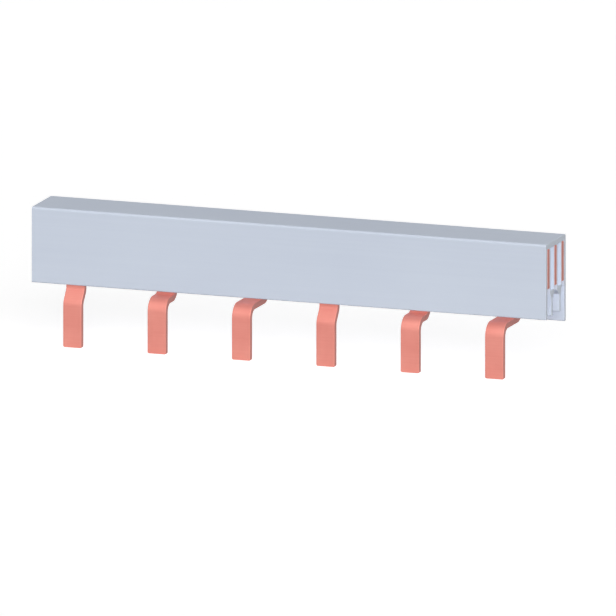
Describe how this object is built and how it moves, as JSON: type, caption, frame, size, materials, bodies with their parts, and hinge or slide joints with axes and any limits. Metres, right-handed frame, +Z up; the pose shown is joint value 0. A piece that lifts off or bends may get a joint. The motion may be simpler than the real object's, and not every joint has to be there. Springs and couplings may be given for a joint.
{
  "type": "comb busbar",
  "caption": "Comb busbar: a straight insulating profile, open below, holds stamped copper combs whose bent tags hang in one line to feed a row of circuit breakers.",
  "frame": {"origin": "on the front contact face of the first tag, at the middle of its width and 4 mm above its tip, the middle of the length that a terminal clamps", "axes": "+X along the bar from the first tag to the last, +Y to the back of the profile, +Z up, away from the tags' tips"},
  "size_m": [0.1085, 0.0125, 0.0278],
  "materials": {
    "profile_plastic": "matte",
    "comb_copper": "satin"
  },
  "bodies": {
    "root": {"insulating_profile": "profile_plastic", "copper_comb_1": "comb_copper", "copper_comb_2": "comb_copper", "copper_comb_3": "comb_copper"}
  },
  "joints": []
}
